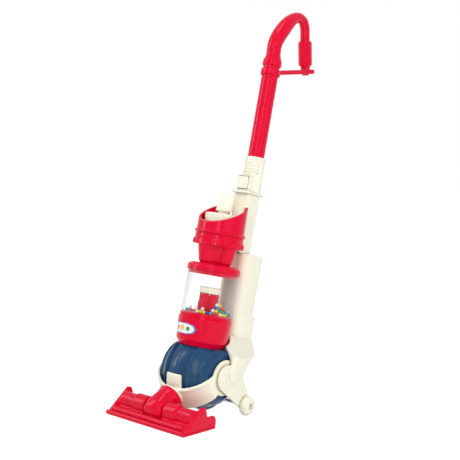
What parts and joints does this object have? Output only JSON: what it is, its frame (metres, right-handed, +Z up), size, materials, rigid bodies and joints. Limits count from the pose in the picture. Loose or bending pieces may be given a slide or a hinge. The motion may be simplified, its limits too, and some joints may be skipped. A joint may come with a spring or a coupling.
{
  "type": "toy vacuum cleaner",
  "caption": "Upright toy vacuum on a dark ball: red floor head on a swivel elbow, clear bin with loose beads, fluted cyclone and a looped handle on a wand.",
  "frame": {"origin": "floor level, centre of the part's footprint box", "axes": "+Z up, front of the floor head towards -Y, +X across the head"},
  "size_m": [0.152, 0.3588, 0.6122],
  "materials": {
    "red_plastic": "glossy moulded plastic",
    "ivory_plastic": "satin moulded plastic",
    "blue_plastic": "glossy moulded plastic",
    "dark_plastic": "matte moulded plastic",
    "clear_plastic": "clear moulded plastic",
    "steel": "zinc plated",
    "cell_jacket": "printed jacket, no lettering",
    "bead_blue": "glossy",
    "bead_green": "glossy",
    "bead_yellow": "glossy",
    "bead_white": "glossy",
    "bead_red": "glossy",
    "bead_sky": "glossy"
  },
  "bodies": {
    "body": {"bowl": "red_plastic", "bin_floor": "red_plastic", "column": "red_plastic", "collar": "red_plastic", "cyclone": "red_plastic", "hood": "red_plastic", "spine_left": "ivory_plastic", "spine_right": "ivory_plastic", "column_cap": "ivory_plastic", "post": "ivory_plastic", "ball_left": "blue_plastic", "ball_right": "blue_plastic", "battery_door": "blue_plastic", "battery_tray": "dark_plastic", "ball_screws": "steel", "door_screw": "steel", "cell_plates": "steel", "cell_springs": "steel", "spine_screws": "steel", "axle": "steel", "motor": "steel", "release_spring": "steel", "latch_spring": "steel", "cells": "cell_jacket", "bin_wall": "clear_plastic", "beads_blue": "bead_blue", "beads_green": "bead_green", "beads_yellow": "bead_yellow", "beads_white": "bead_white", "beads_red": "bead_red", "beads_sky": "bead_sky"},
    "head": {"head_base": "red_plastic", "head_cover": "red_plastic", "head_screws": "steel"},
    "elbow": {"elbow": "red_plastic"},
    "yoke": {"yoke": "ivory_plastic"},
    "wheel_left": {"wheel_left": "ivory_plastic"},
    "wheel_right": {"wheel_right": "ivory_plastic"},
    "fan": {"impeller": "dark_plastic"},
    "release": {"release_button": "ivory_plastic"},
    "latch": {"latch_button": "ivory_plastic"},
    "wand": {"wand": "red_plastic", "arm": "red_plastic", "handle": "red_plastic", "grip": "red_plastic", "arm_screw": "steel"}
  },
  "joints": [
    {"name": "recline", "type": "hinge", "parent": "body", "child": "yoke", "pos_m": [0, -0.06394, 0.061], "axis": [1, 0, 0], "range_deg": [0, 40]},
    {"name": "neck_twist", "type": "hinge", "parent": "yoke", "child": "elbow", "pos_m": [0, -0.12595, 0.03075], "axis": [0, -0.8988, -0.4384], "range_deg": [-25, 25]},
    {"name": "head_pitch", "type": "hinge", "parent": "elbow", "child": "head", "pos_m": [0, -0.14752, 0.02023], "axis": [1, 0, 0], "range_deg": [-20, 6]},
    {"name": "wheel_left_spin", "type": "hinge", "parent": "body", "child": "wheel_left", "pos_m": [-0.062, -0.02014, 0.0145], "axis": [1, 0, 0], "continuous": true},
    {"name": "wheel_right_spin", "type": "hinge", "parent": "body", "child": "wheel_right", "pos_m": [0.062, -0.02014, 0.0145], "axis": [1, 0, 0], "continuous": true},
    {"name": "fan_spin", "type": "hinge", "parent": "body", "child": "fan", "pos_m": [0, -0.05721, 0.13298], "axis": [0, 0.1822, 0.9833], "continuous": true},
    {"name": "wand_lift", "type": "slide", "parent": "body", "child": "wand", "axis": [0, 0.1822, 0.9833], "range_m": [0, 0.05]},
    {"name": "release_press", "type": "slide", "parent": "body", "child": "release", "axis": [0, -0.1822, -0.9833], "range_m": [0, 0.004], "stiffness_N_per_m": 400, "springref_m": -0.003, "deforming": ["release_spring"]},
    {"name": "latch_press", "type": "slide", "parent": "body", "child": "latch", "axis": [0, 0.9833, -0.1822], "range_m": [0, 0.003], "stiffness_N_per_m": 300, "springref_m": -0.002, "deforming": ["latch_spring"]}
  ]
}
